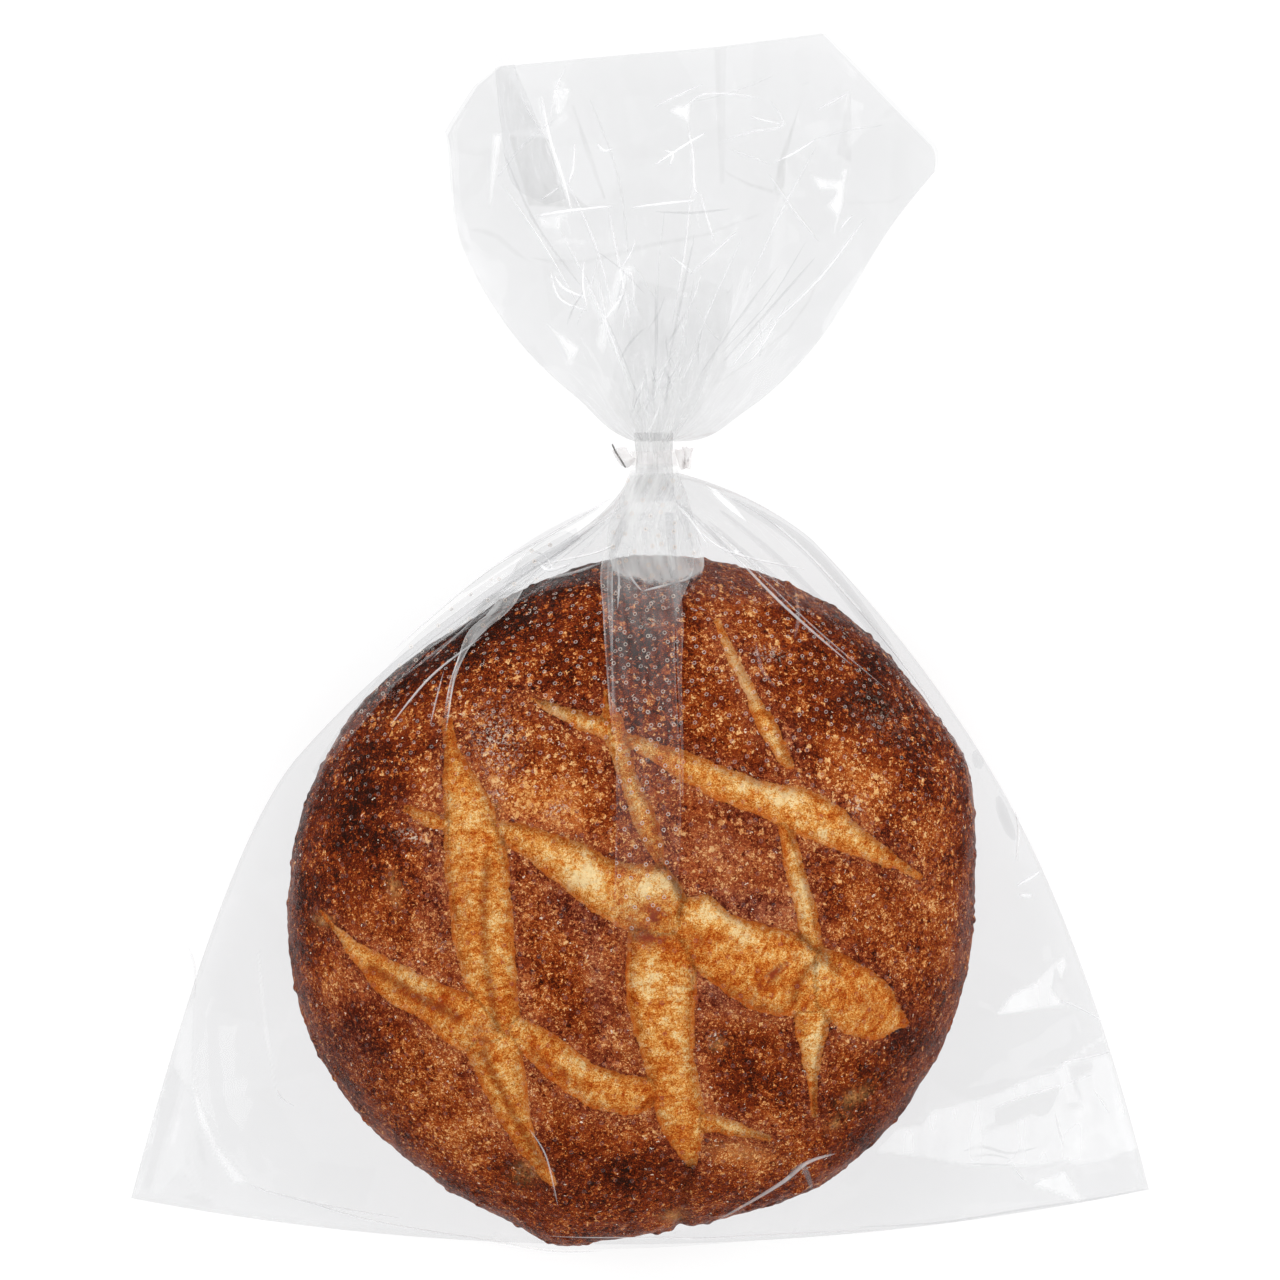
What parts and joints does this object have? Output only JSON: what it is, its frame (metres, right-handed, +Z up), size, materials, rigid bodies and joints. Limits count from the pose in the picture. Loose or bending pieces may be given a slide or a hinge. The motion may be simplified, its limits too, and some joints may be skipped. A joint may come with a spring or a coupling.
{
  "type": "bagged sourdough loaf",
  "caption": "Round scored sourdough loaf sealed in a clear film bag, gathered to a neck and shut with a twist tie, lying flat.",
  "frame": {"origin": "middle of the footprint of the lying bag, on the ground", "axes": "+X across the bag, +Y from the hem towards the neck and its ruffle, +Z up through the scored crust"},
  "size_m": [0.3586, 0.4258, 0.0928],
  "materials": {
    "film": "clear thin film with a strong gloss and fine vent holes",
    "crust": "dark baked crust, slightly shiny, rough with small blisters, golden in the slashes",
    "tie": "translucent white ribbon with a thin steel wire"
  },
  "bodies": {
    "root": {"bag_with_loaf": "film", "twist_tie": "tie"}
  },
  "joints": []
}
